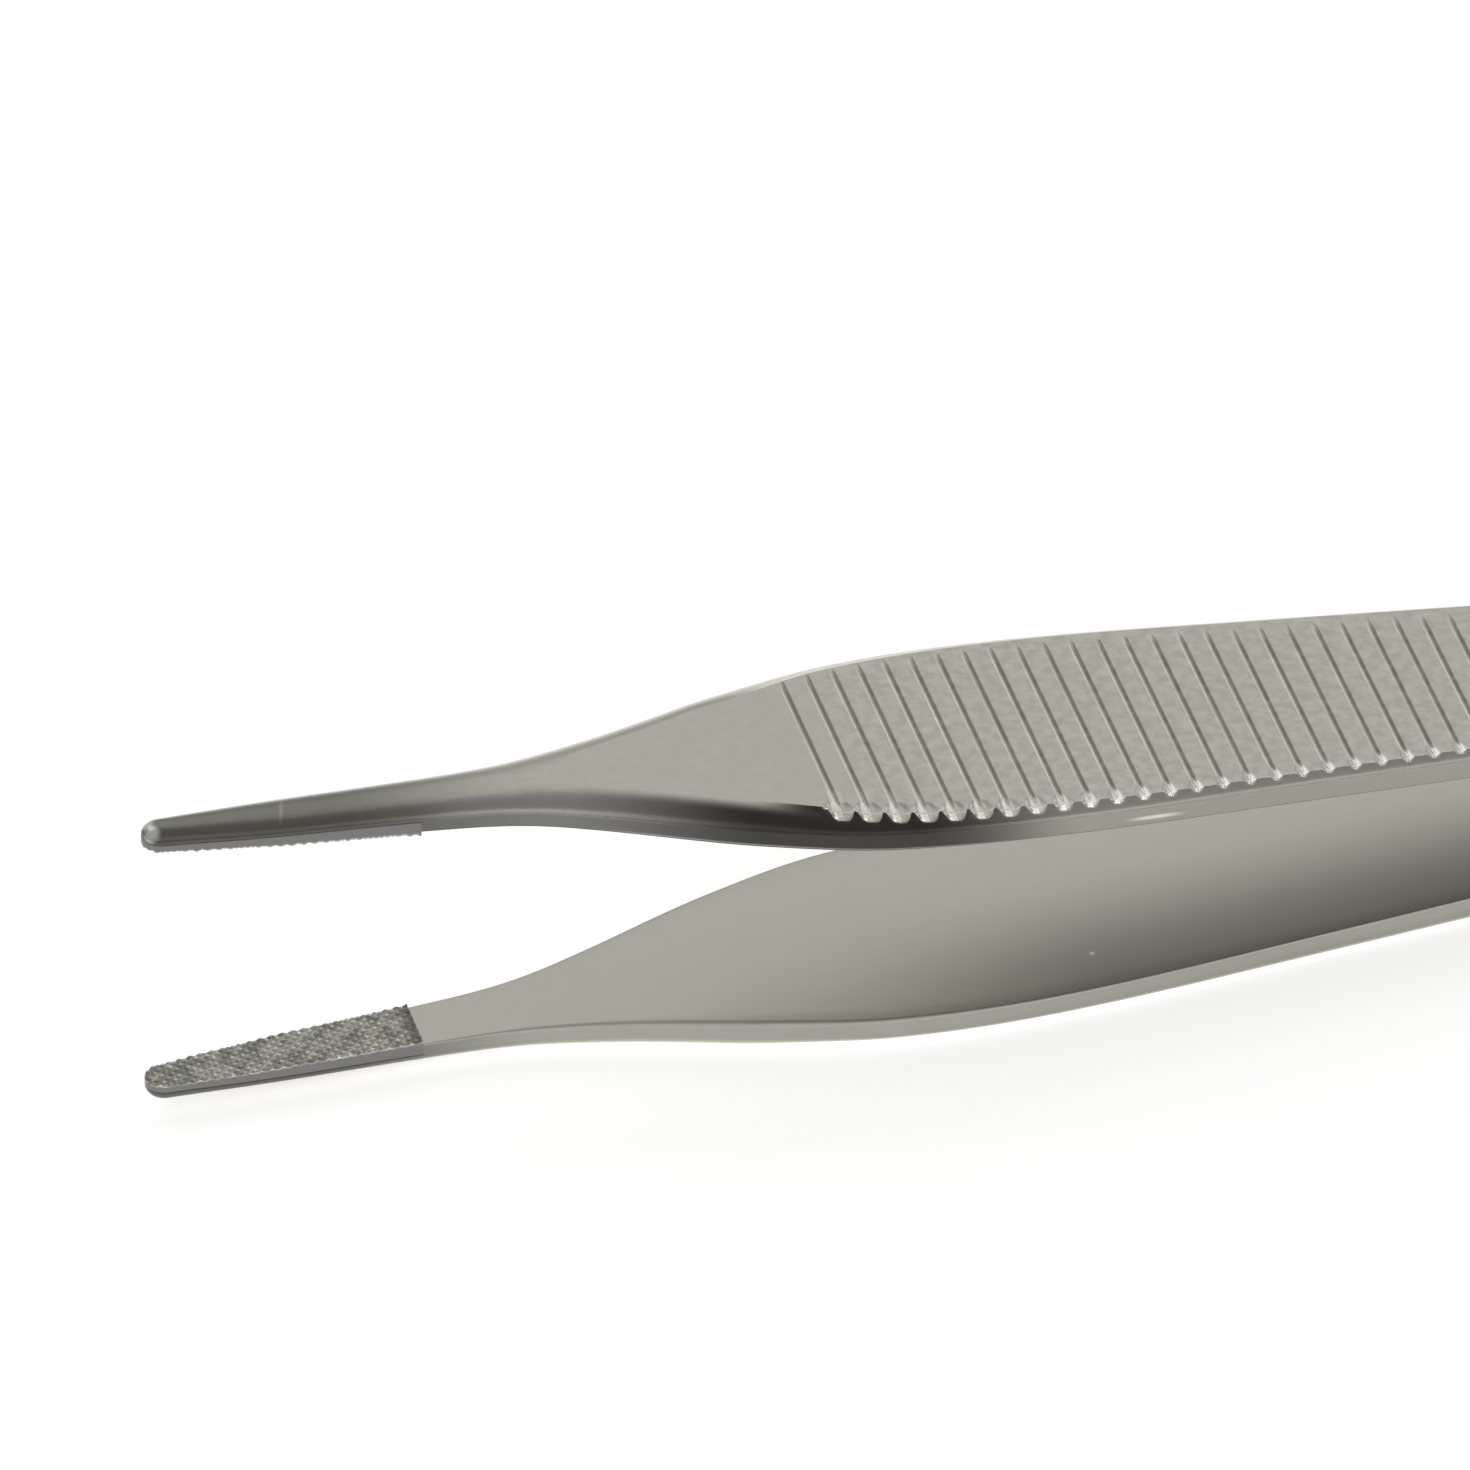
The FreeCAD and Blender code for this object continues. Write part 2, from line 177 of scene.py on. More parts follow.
def thickness(x):
    return smooth((
        (NOSE_RADIUS, TIP_THICKNESS),
        (JAW_MIDDLE, between(TIP_THICKNESS, JAW_ROOT_THICKNESS, 0.55)),
        (INSERT_LENGTH, JAW_ROOT_THICKNESS),
        (FLARE_MIDDLE, SHOULDER_THICKNESS),
        (WIDEST_AT, GRIP_THICKNESS),
        (FLAT_END, GRIP_THICKNESS),
        (HEEL_START, HEEL_THICKNESS),
        (OVERALL_LENGTH, HEEL_THICKNESS),
    ), x)


def outer_height(x):
    if FLAT_START <= x <= FLAT_END:
        return flat_height(x)
    if x < FLAT_START:
        return smooth((
            (0.0, TIP_HEIGHT),
            (INSERT_LENGTH, JAW_ROOT_HEIGHT),
            (FLAT_START, flat_height(FLAT_START)),
            (SHOULDER_AT, flat_height(SHOULDER_AT)),
        ), x)
    return smooth((
        (WIDEST_AT, flat_height(WIDEST_AT)),
        (FLAT_END, flat_height(FLAT_END)),
        (TAIL_MIDDLE, 0.5 * (flat_height(FLAT_END) + HEEL_THICKNESS)),
        (HEEL_START, HEEL_THICKNESS),
        (OVERALL_LENGTH, HEEL_THICKNESS),
    ), x)


def inner_height(x):
    return outer_height(x) - thickness(x)


def seat_height(x):
    at_tip = inner_height(0.0) + SEAT_DEPTH_AT_TIP
    at_root = inner_height(INSERT_LENGTH) + SEAT_DEPTH_AT_ROOT
    return between(at_tip, at_root, x / INSERT_LENGTH)


def bite_height(x):
    at_tip = inner_height(0.0) - INSERT_PROUD
    at_root = inner_height(INSERT_LENGTH) - INSERT_PROUD
    return between(at_tip, at_root, x / INSERT_LENGTH)


def edge_rounding(x):
    """Run and drop of the outer edge's rounding."""
    run = smooth((
        (FLARE_MIDDLE, NECK_EDGE_RUN),
        (SHOULDER_AT, SHOULDER_EDGE_RUN),
        (GRIP_EDGE_AT, GRIP_EDGE_RUN),
        (HEEL_START, GRIP_EDGE_RUN),
    ), x)
    drop = smooth((
        (INSERT_LENGTH, JAW_ROOT_THICKNESS - SEAT_DEPTH_AT_ROOT),
        (FLARE_MIDDLE, NECK_EDGE_DROP),
        (WIDEST_AT, GRIP_EDGE_DROP),
        (HEEL_START, GRIP_EDGE_DROP),
    ), x)
    if x < INSERT_LENGTH:
        drop = outer_height(x) - seat_height(x) - BRAZE_SEAM
    return min(run, half_width(x) - JAW_CROWN), drop


def edge_break(x):
    """How steeply the outer edge leaves the face: softly on the neck and with
    a crisp corner on the plate."""
    return PLATE_EDGE_BREAK * eased((x - BREAK_FROM) / (BREAK_TO - BREAK_FROM))


def inner_edge(x):
    return smooth((
        (INSERT_LENGTH, INNER_EDGE_JAW),
        (FLARE_MIDDLE, INNER_EDGE_NECK),
        (WIDEST_AT, INNER_EDGE_GRIP),
        (HEEL_START, INNER_EDGE_GRIP),
    ), x)


# How each half of the arm's section is divided, from the middle of the outer
# face round to the middle of the inner face
FLAT_BREAKS = (1.75, 1.62, 1.5, 1.4, 1.3, 1.2, 1.1, 1.02, 0.94, 0.86, 0.79)
FLAT_INNER_STEPS = 4
EDGE_STEPS = 16
SIDE_STEPS = 3
SOFT_STEPS = 5
INNER_STEPS = 7
NOSE_STEPS = 28
OUTER_COUNT = FLAT_INNER_STEPS + len(FLAT_BREAKS) + EDGE_STEPS + 1
UNDER_COUNT = SIDE_STEPS + SOFT_STEPS + INNER_STEPS
HALF_COUNT = OUTER_COUNT + UNDER_COUNT


def outer_curve(x, ground):
    """The outer half of a section: (y, depth below the face, turn) points. turn
    goes from 0 on the face to 1 on the side."""
    half = half_width(x)
    run, drop = edge_rounding(x)
    flat = half - run
    slope = edge_break(x)
    bend = KAPPA * run
    poles = ((flat, -ground),
             (flat + bend * math.cos(slope), bend * math.sin(slope) - ground),
             (half, (1 - KAPPA) * drop),
             (half, drop))

    def round_edge(t):
        """A point of the edge's curve and its turn."""
        weights = ((1 - t)**3, 3 * t * (1 - t)**2, 3 * t**2 * (1 - t), t**3)
        rates = (-(1 - t)**2, (1 - t) * (1 - 3 * t), t * (2 - 3 * t), t**2)
        y, fall = (sum(w * pole[k] for w, pole in zip(weights, poles)) for k in (0, 1))
        dy, dfall = (sum(w * pole[k] for w, pole in zip(rates, poles)) for k in (0, 1))
        return y, fall, math.atan2(dfall, dy) / (0.5 * math.pi)

    low, high = 0.0, 1.0
    if ground > 0:
        for _ in range(24):
            middle = 0.5 * (low + high)
            if round_edge(middle)[1] < 0:
                low = middle
            else:
                high = middle
    start = low
    corner = round_edge(start)[0]
    arc = math.hypot(half - corner, drop)
    total = corner + arc

    def at(distance):
        """The point at a distance along the face and then round the edge."""
        if distance < corner:
            return distance, 0.0, 0.0
        y, fall, turn = round_edge(between(start, 1.0, (distance - corner) / arc))
        return y, max(0.0, fall), turn

    plate = []
    first_break = max(0.1 * corner, half - FLAT_BREAKS[0])
    for i in range(FLAT_INNER_STEPS):
        plate.append(first_break * i / FLAT_INNER_STEPS)
    for back in FLAT_BREAKS:
        share = (FLAT_BREAKS[0] - back) / (FLAT_BREAKS[0] - FLAT_BREAKS[-1])
        plate.append(between(first_break, corner, share))
    for i in range(EDGE_STEPS + 1):
        plate.append(between(corner, total, i / EDGE_STEPS))
    even = [total * i / (OUTER_COUNT - 1) for i in range(OUTER_COUNT)]
    blend = eased((x - INSERT_LENGTH) / (FLAT_START - INSERT_LENGTH))
    return [at(between(e, p, blend)) for e, p in zip(even, plate)]


def under_curve(x):
    """The inner half of a section: (y, height, turn) points from the side to
    the middle of the inner face, where turn is 2."""
    half = half_width(x)
    run, drop = edge_rounding(x)
    low = inner_height(x)
    soft = inner_edge(x)
    top = outer_height(x) - drop
    points = []
    for i in range(1, SIDE_STEPS + 1):
        points.append((half, between(top, low + soft, i / SIDE_STEPS), 1.0))
    for i in range(1, SOFT_STEPS + 1):
        angle = 0.5 * math.pi * i / SOFT_STEPS
        points.append((half - soft * (1 - math.cos(angle)), low + soft * (1 - math.sin(angle)),
                       1 + i / SOFT_STEPS))
    for i in range(1, INNER_STEPS + 1):
        points.append(((half - soft) * (1 - i / INNER_STEPS), low, 2.0))
    return points


def seat_curve(x):
    """The under side of the jaw: a small chamfer at the seam, then the seat."""
    half = half_width(x)
    seat = seat_height(x)
    points = [(half - BRAZE_SEAM, seat, 1.2)]
    for i in range(1, UNDER_COUNT):
        points.append(((half - BRAZE_SEAM) * (1 - i / (UNDER_COUNT - 1)), seat, 2.0))
    return points


def groove_cut(x, y):
    """How deep the ridges' grooves are cut at a place on the plate, and how
    deep their scoops are, which open at low y."""
    i = round((x - RIDGE_START) / RIDGE_PITCH)
    if i < 0 or i >= GROOVE_COUNT:
        return 0.0, 0.0
    off = x - RIDGE_START - i * RIDGE_PITCH
    half = half_width(x)
    run_out_end = half - GROOVE_MARGIN
    deep = GROOVE_DEPTH
    if y > run_out_end - GROOVE_RUN_OUT:
        run_out = (y - run_out_end + GROOVE_RUN_OUT) / GROOVE_RUN_OUT
        deep = between(GROOVE_DEPTH, -0.5 * GROOVE_DEPTH, run_out)
    lean = off - GROOVE_LEAN
    wide = 0.5 * GROOVE_WIDTH + (GROOVE_LEAN if lean < 0 else -GROOVE_LEAN)
    groove = deep - GROOVE_DEPTH * abs(lean) / wide
    scoop = 0.0
    reach = SCOOP_START + edge_rounding(x)[0] - half - y
    if reach > 0:
        fade = 1 - SCOOP_FADE * eased((x - SHOULDER_AT) / (GRIP_EDGE_AT - SHOULDER_AT))
        wide = SCOOP_WIDE * fade * (1 - (1 - min(1.0, reach / SCOOP_START))**2)
        if abs(off) < wide:
            scoop = SCOOP_SLOPE * fade * reach * (1 - (off / wide)**4)
    return max(0.0, groove), scoop


def blended(first, second):
    """The deeper of two cuts, with a small fillet where they meet."""
    fillet = min(CUT_FILLET, first, second)
    return 0.5 * (first + second + math.hypot(first - second, fillet))


def arm_half(x, side):
    """One half-section of an arm: (y, z, turn, groove, scoop) points."""
    ramp = eased(min(x - FLAT_START, FLAT_END - x) / GRINDING_RAMP)
    top = outer_height(x)
    points = []
    for y, fall, turn in outer_curve(x, GRINDING * ramp):
        groove, scoop = groove_cut(x, side * y)
        depth = blended(fall, blended(groove, scoop))
        points.append((side * y, top - depth, turn, max(0.0, groove - fall), max(0.0, scoop - fall)))
    under = seat_curve(x) if x < INSERT_LENGTH else under_curve(x)
    for y, z, turn in under:
        points.append((side * y, z, turn, 0.0, 0.0))
    return points


def steps_between(low, high, count):
    """Even steps from low up to, but not at, high."""
    return [between(low, high, i / count) for i in range(count)]


def arm_stations():
    """Where the arm's section is drawn. Each groove has its own lines at its
    middle, its edges and across its scoop."""
    places = steps_between(NOSE_RADIUS, INSERT_LENGTH, 44)
    places.append(INSERT_LENGTH - 1e-6)
    places += steps_between(INSERT_LENGTH, RIDGE_START - 0.5 * RIDGE_PITCH, 80)
    spread = (-0.56, -0.5, -0.47, -0.45, -0.42, -0.38, -0.33, -0.27, -0.22, -0.17, -0.10, -0.03, 0.02, 0.05,
              0.08, 0.12, 0.17, 0.22, 0.27, 0.33, 0.38, 0.42, 0.45, 0.47, 0.5, 0.56)
    for i in range(GROOVE_COUNT):
        middle = RIDGE_START + i * RIDGE_PITCH
        for offset in spread:
            places.append(middle + offset)
    ridges_end = RIDGE_START + (GROOVE_COUNT - 0.5) * RIDGE_PITCH
    places += steps_between(ridges_end, OVERALL_LENGTH - HEEL_CORNER, 70)
    corner_steps = 18
    for i in range(corner_steps + 1):
        angle = 0.5 * math.pi * i / corner_steps
        places.append(OVERALL_LENGTH - HEEL_CORNER * (1 - math.sin(angle)))
    return places


class Skin:
    """Vertices, faces and the three vectors that the finishes read: place
    (along, across and depth below the face), lie (turn, groove and scoop) and
    margin (how far in from the two long edges)."""

    def __init__(self):
        self.points = []
        self.faces = []
        self.place = []
        self.lie = []
        self.margin = []

    def add(self, x, y, z, turn=0.0, groove=0.0, scoop=0.0):
        half = half_width(x)
        self.points.append((x, y, z))
        self.place.append((x, y, outer_height(x) - z))
        self.lie.append((turn, groove, scoop))
        self.margin.append((half + y, half - y, 0.0))
        return len(self.points) - 1

    def strip(self, first, second, flip=False):
        """Faces between two rows of vertices."""
        for i in range(len(first) - 1):
            corners = [first[i], second[i], second[i + 1], first[i + 1]]
            unique = [c for k, c in enumerate(corners) if c not in corners[:k]]
            if len(unique) > 2:
                self.faces.append(tuple(reversed(unique)) if flip else tuple(unique))

    def piece(self, name, turned_over, finish, slot, node, crease=0.6):
        """The finished piece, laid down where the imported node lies."""
        mesh = bpy.data.meshes.new(name)
        mesh.from_pydata([laid_down(p, turned_over) for p in self.points], [], self.faces)
        for label, values in (("place", self.place), ("lie", self.lie), ("margin", self.margin)):
            layer = mesh.attributes.new(label, "FLOAT_VECTOR", "POINT")
            layer.data.foreach_set("vector", [c for value in values for c in value])
        mesh.validate()
        mesh.polygons.foreach_set("use_smooth", [True] * len(mesh.polygons))
        mesh.set_sharp_from_angle(angle=crease)
        mesh.materials.append(finish)
        piece = bpy.data.objects.new(name, mesh)
        bpy.context.scene.collection.objects.link(piece)
        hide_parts(node)
        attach(piece, "root")
        return piece


HEEL_REACH = OVERALL_LENGTH * math.cos(TILT) + HEEL_THICKNESS * math.sin(TILT)
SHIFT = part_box("upper_arm")[1][0] / MM - HEEL_REACH
LIFT = FLAT_HEIGHT_AT_TIP * math.cos(TILT)


def laid_down(point, turned_over=False):
    """A point of the upper arm, or of the same piece turned over, in metres."""
    x, y, z = point
    if turned_over:
        y, z = -y, -z
    return ((x * math.cos(TILT) + z * math.sin(TILT) + SHIFT) * MM,
            y * MM,
            (z * math.cos(TILT) - x * math.sin(TILT) + LIFT) * MM)


def arm_skin():
    skin = Skin()
    rows = []
    for x in arm_stations():
        right = arm_half(x, 1)
        left = arm_half(x, -1)
        loop = [skin.add(x, *p) for p in right]
        loop += [skin.add(x, *p) for p in reversed(left[1:-1])]
        rows.append(loop + loop[:1])
    for first, second in zip(rows, rows[1:]):
        skin.strip(first, second)
    skin.faces.append(tuple(rows[-1][:-1]))
    # The nose: the first half-section turned about the nose's centre line
    profile = arm_half(NOSE_RADIUS, 1)
    first = rows[0]
    top_middle = first[0]
    bottom_middle = first[HALF_COUNT - 1]
    previous = first[:HALF_COUNT]
    for i in range(1, NOSE_STEPS + 1):
        angle = math.pi * i / NOSE_STEPS
        if i == NOSE_STEPS:
            row = [top_middle] + [first[-2 - k] for k in range(HALF_COUNT - 2)] + [bottom_middle]
        else:
            row = [top_middle]
            for y, z, turn, *_ in profile[1:-1]:
                row.append(skin.add(NOSE_RADIUS - y * math.sin(angle), y * math.cos(angle), z, turn))
            row.append(bottom_middle)
        skin.strip(row, previous)
        previous = row
    return skin


def tooth_cut(x, y):
    """Depth of the crossed grooves of the bite face."""
    deepest = 0.0
    for direction in (1, -1):
        across = (x + direction * y) * math.sqrt(0.5) / TOOTH_PITCH
        off = abs(across - round(across)) * TOOTH_PITCH
        deepest = max(deepest, TOOTH_DEPTH * (1 - off / (0.5 * TOOTH_GROOVE_WIDTH)))
    return deepest


def insert_half_width(x):
    if x < NOSE_RADIUS:
        return math.sqrt(max(0.0, NOSE_RADIUS**2 - (NOSE_RADIUS - x)**2))
    return half_width(x)


def insert_skin():
    """The hard insert: a hatched bite face, its sides with a small chamfer at
    the seam, and the face brazed to the seat."""
    skin = Skin()
    across = 84
    nose_steps = 30
    length_steps = 380
    places = []
    for i in range(nose_steps):
        places.append(NOSE_RADIUS * (1 - math.cos(0.5 * math.pi * i / nose_steps)))
    for i in range(length_steps + 1):
        places.append(between(NOSE_RADIUS, INSERT_LENGTH, i / length_steps))
    rows = []
    for x in places:
        half = insert_half_width(x)
        low = bite_height(x)
        seat = seat_height(x)
        row = []
        for i in range(across + 1):
            y = half * (2 * i / across - 1)
            cut = tooth_cut(x, y)
            row.append(skin.add(x, y, low + cut, 2.0, cut))
        sides = []
        for side in (1, -1):
            edge_cut = tooth_cut(x, side * half)
            column = []
            for share in (0.5, 1.0):
                height = between(low + edge_cut, seat - BRAZE_SEAM, share)
                column.append(skin.add(x, side * half, height, 1.0))
            column.append(skin.add(x, side * max(0.0, half - BRAZE_SEAM), seat, 1.2))
            sides.append(column)
        rows.append(row + sides[0] + list(reversed(sides[1])) + row[:1])
    for first, second in zip(rows, rows[1:]):
        skin.strip(first, second, flip=True)
    skin.faces.append(tuple(reversed(rows[-1][:-1])))
    skin.faces.append(tuple(rows[0][:-1]))
    return skin


class Value:
    """A shader socket that takes part in Python sums."""

    def __init__(self, finish, socket):
        self.finish = finish
        self.socket = socket

    def math(self, operation, *others):
        return self.finish.node("ShaderNodeMath", {"operation": operation}, [self, *others])

    def __add__(self, other):
        return self.math("ADD", other)

    def __radd__(self, other):
        return self.math("ADD", other)

    def __sub__(self, other):
        return self.math("SUBTRACT", other)

    def __rsub__(self, other):
        return (self * -1) + other

    def __mul__(self, other):
        return self.math("MULTIPLY", other)

    def __rmul__(self, other):
        return self.math("MULTIPLY", other)

    def __truediv__(self, other):
        return self.math("DIVIDE", other)

    def __abs__(self):
        return self.math("ABSOLUTE")


class Finish:
    """One material and the nodes in it."""

    def __init__(self, name):
        self.material = bpy.data.materials.new(name)
        self.material.use_nodes = True
        self.tree = self.material.node_tree
        self.tree.nodes.clear()

    def node(self, kind, settings=None, inputs=(), output=0):
        """Adds a node. inputs is a list in socket order, or a dict by name."""
        node = self.tree.nodes.new(kind)
        for key, value in (settings or {}).items():
            setattr(node, key, value)
        pairs = inputs.items() if isinstance(inputs, dict) else enumerate(inputs)
        for key, value in pairs:
            socket = node.inputs[key]
            if isinstance(value, Value):
                self.tree.links.new(value.socket, socket)
            elif isinstance(value, tuple) and len(value) == 3 and socket.type == "RGBA":
                socket.default_value = (*value, 1.0)
            else:
                socket.default_value = value
        return Value(self, node.outputs[output]) if node.outputs else None

    def parts(self, vector):
        """The three numbers of a vector."""
        split = self.node("ShaderNodeSeparateXYZ", None, [vector])
        return [Value(self, split.socket.node.outputs[i]) for i in range(3)]

    def ramp(self, value, low, high):
        """0 below low, 1 above high, with a soft step between."""
        return self.node("ShaderNodeMapRange", {"interpolation_type": "SMOOTHSTEP"},
                         {"Value": value, "From Min": low, "From Max": high})

    def band(self, value, rise, fall):
        """1 between two soft steps, one up and one down."""
        return self.ramp(value, *rise) * (1 - self.ramp(value, *fall))

    def close(self, value, inside, outside):
        """1 where a value is near 0, fading out on both sides."""
        return 1 - self.ramp(abs(value), inside, outside)

    def mix(self, share, first, second):
        return self.node("ShaderNodeMix", {"data_type": "RGBA"}, {0: share, 6: first, 7: second}, output=2)

    def layered(self, colour, layers):
        """A colour under layers of (share, tone), the last one on top."""
        for share, tone in layers:
            colour = self.mix(share, colour, tone)
        return colour

    def noise(self, vector, scale, detail=2.0, roughness=0.5):
        return self.node("ShaderNodeTexNoise", None,
                         {"Vector": vector, "Scale": scale, "Detail": detail, "Roughness": roughness})

    def spot(self, vector, centre, inside, outside):
        """1 near a point, fading to 0 round it."""
        away = self.node("ShaderNodeVectorMath", {"operation": "DISTANCE"}, [vector, centre], output=1)
        return 1 - self.ramp(away, inside, outside)

    def stretched(self, vector, along, across, down):
        return self.node("ShaderNodeVectorMath", {"operation": "MULTIPLY"},
                         [vector, (along, across, down)])

    def bump(self, relief, strength, distance):
        """Relief of a finish, distance in millimetres."""
        return self.node("ShaderNodeBump", None,
                         {"Strength": strength, "Distance": distance * MM, "Height": relief})

    def surface(self, **sockets):
        shader = self.node("ShaderNodeBsdfPrincipled", None,
                           {key.replace("_", " "): value for key, value in sockets.items()})
        self.node("ShaderNodeOutputMaterial", None, [shader])
        return self.material


def attribute(finish, name):
    return finish.node("ShaderNodeAttribute", {"attribute_name": name}, output=1)


# Where the steel's finish and its painted light and shade change along the arm, in millimetres from the tip.
# Each pair is where a change starts and where it is complete.
JAW_SHADE_FADES = (8.0, 19.0)
NECK_SHEEN_STARTS = (12.0, 15.0)
NECK_SHEEN_FADES = (23.0, 29.0)
FLANK_SHADE_STARTS = (18.0, 27.5)
FLANK_SHADE_FADES = (34.0, 42.0)
HEM_STARTS = (19.0, 23.0)
HEM_FADES = (36.0, 41.0)
INNER_SHADE_STARTS = (30.0, 44.0)
PALE_REAR_STARTS = (36.0, 42.0)
POLISH_AND_GLINT_STARTS = (36.0, 45.0)
EDGES_FADE_TO_HEEL = (92.0, 108.0)
LAST_RIDGE = RIDGE_START + (GROOVE_COUNT - 1) * RIDGE_PITCH

# Where it changes round the section: 0 is the outer face, 1 the side and 2 the
# inner face.
INNER_FACE_STARTS = (1.5, 1.9)
SIDE_FADES = (1.3, 1.9)

# Small marks and painted highlights: where they are, in millimetres along, across and below the face
NOSE_HIGHLIGHT = (0.36, -0.42, 0.20)
INNER_SPECK = (42.81, 4.47, 1.36)
SCRATCH_AT = 6.42
SCRATCH_LEAN = 0.264
FLANK_HIGHLIGHT_AT = 45.0
FLANK_HIGHLIGHT_DEPTH = 0.93


def satin_face(finish, place, along, turn, mottle):
    """The ground faces' colour: patchy between the ridges, even elsewhere."""
    on_ridges = finish.ramp(along, RIDGE_START, RIDGE_START + 3)
    uneven = (0.3 + 0.7 * on_ridges) * (1 - finish.ramp(turn, 0.1, 0.4))
    patches = 0.5 + (finish.ramp(mottle, 0.32, 0.68) - 0.5) * uneven
    face = finish.mix(patches, (0.445, 0.434, 0.374), (0.545, 0.531, 0.466))
    warm = finish.ramp(finish.noise(place, 0.7), 0.5, 0.75)
    return finish.mix(warm * 0.35, face, (0.51, 0.48, 0.44))


def marks_and_highlights(finish, place, scooped_side):
    """The nose's painted highlight, a speck inside, a scratch across the jaw and a
    painted highlight along the flank."""
    along, across, depth = finish.parts(place)
    # Painted highlight on the nose
    nose = finish.spot(place, NOSE_HIGHLIGHT, 0.16, 0.52)
    speck = finish.spot(place, INNER_SPECK, 0.05, 0.18)
    scratch = (finish.close(along - SCRATCH_AT - across * SCRATCH_LEAN, 0.03, 0.14)
               * (1 - finish.ramp(depth, 0.08, 0.30)))
    # Painted highlight along the flank
    flank_highlight = finish.close(along - FLANK_HIGHLIGHT_AT, 0.3, 1.6) * finish.close(depth - FLANK_HIGHLIGHT_DEPTH, 0.03, 0.14)
    return [(nose, (0.99, 0.99, 0.97)),
            (speck * 0.55, (0.95, 0.95, 0.90)),
            (scratch * 0.17, (0.70, 0.69, 0.64)),
            (flank_highlight * scooped_side * 0.6, (0.95, 0.93, 0.86))]


def satin_steel():
    """Satin ground steel: fine lengthwise grain, grooves with painted highlights on their lips,
    scoops with a finer polish and a painted glint, and painted shade on one flank that pales to the heel."""
    finish = Finish("satin_steel")
    place = attribute(finish, "place")
    along, across, depth = finish.parts(place)
    turn, groove, scoop = finish.parts(attribute(finish, "lie"))
    far = finish.parts(attribute(finish, "margin"))[1]
    grain = finish.noise(finish.stretched(place, 0.8, 14.0, 14.0), 1.0, 4.0, 0.6)
    mottle = finish.noise(place, 1.7, 3.0, 0.6)

    # Which way a place faces, and whether the scoops open on its side
    outer = 1 - finish.ramp(turn, 0.03, 0.10)
    inner = finish.ramp(turn, *INNER_FACE_STARTS)
    scooped_side = finish.ramp(across * -1, 0.0, 0.2)
    plain_side = 1 - scooped_side
    before_heel = 1 - finish.ramp(along, *EDGES_FADE_TO_HEEL)
    rear = finish.ramp(along, *PALE_REAR_STARTS)
    flank = finish.band(turn, (0.06, 0.26), SIDE_FADES) * scooped_side
    wall = finish.band(turn, (0.70, 0.90), SIDE_FADES) * before_heel
    # Painted highlights: the bevel on the scooped side towards the heel, and the far edge and far rim on the
    # plain side
    bevel_highlight = finish.band(turn, (0.22, 0.42), (0.70, 0.85)) * scooped_side * rear * before_heel
    far_edge_highlight = finish.band(turn, (0.08, 0.30), (0.45, 0.65)) * plain_side * before_heel
    far_rim_highlight = finish.band(turn, (1.05, 1.3), (1.7, 1.95)) * plain_side * before_heel

    # Grooves: which side of its middle a place lies on
    turns = (along - RIDGE_START) / RIDGE_PITCH + 0.5
    offset = (turns.math("FRACT") - 0.5) * RIDGE_PITCH
    ridged = (finish.band(along, (RIDGE_START - 0.4, RIDGE_START - 0.2), (LAST_RIDGE + 0.2, LAST_RIDGE + 0.4))
              * finish.ramp(far, 0.6, 2.4))
    # Painted highlight along each groove's lip, its strength varied at random
    lip_strength = finish.ramp(finish.noise(finish.stretched(place, 0.5, 0.25, 1.0), 1.0, 2.0, 0.6), 0.3, 0.7)
    lip_highlight = finish.close(offset + 0.16, 0.02, 0.08) * outer * (0.5 + lip_strength)
    # Painted highlight down the middle of the grooves where they run out, beyond the ridged band
    run_out = finish.close(offset - 0.02, 0.03, 0.12) * finish.ramp(groove, 0.02, 0.08) * (1 - ridged)
    off_scoop = 1 - finish.ramp(scoop, 0.0, 0.02)
    # The scoops towards the heel have a finer polish and a painted glint
    polish_and_glint = (finish.band(scoop, (0.02, 0.05), (0.11, 0.16)) * finish.close(offset - 0.08, 0.08, 0.24)
                * finish.ramp(along, *POLISH_AND_GLINT_STARTS))

    # Painted shade on the jaw's back, the side walls, the flank's dark stretch and the inner face, a painted
    # sheen on the neck and a painted light line along the lower edge
    # Painted shade: the jaw's back is darkened, more so further round towards its side
    painted_jaw_shade = ((1 - finish.ramp(along, *JAW_SHADE_FADES)) * (1 - inner)
                * (0.70 + 0.16 * finish.ramp(turn, 0.35, 0.7)))
    wall_shade = wall * scooped_side * (0.74 - 0.28 * rear)
    wall_tone = finish.mix(rear, (0.10, 0.097, 0.099), (0.16, 0.15, 0.12))
    far_wall_shade = wall * plain_side * (0.22 + 0.16 * (1 - finish.ramp(depth, 0.45, 0.95)))
    neck_sheen = flank * (1 - wall) * finish.band(along, NECK_SHEEN_STARTS, NECK_SHEEN_FADES)
    # Painted shade: the scooped side's flank is darkened from the neck to the grip
    painted_flank_shade = flank * finish.band(along, FLANK_SHADE_STARTS, FLANK_SHADE_FADES) * off_scoop
    inner_shade = inner * finish.ramp(along, *INNER_SHADE_STARTS) * (1 - finish.ramp(far, 0.5, 9.0))
    # Painted highlight: a light line round the lower edge on the scooped side
    lower_edge_highlight = (finish.band(turn, (1.02, 1.2), (1.5, 1.8)) * scooped_side
           * finish.band(along, HEM_STARTS, HEM_FADES))

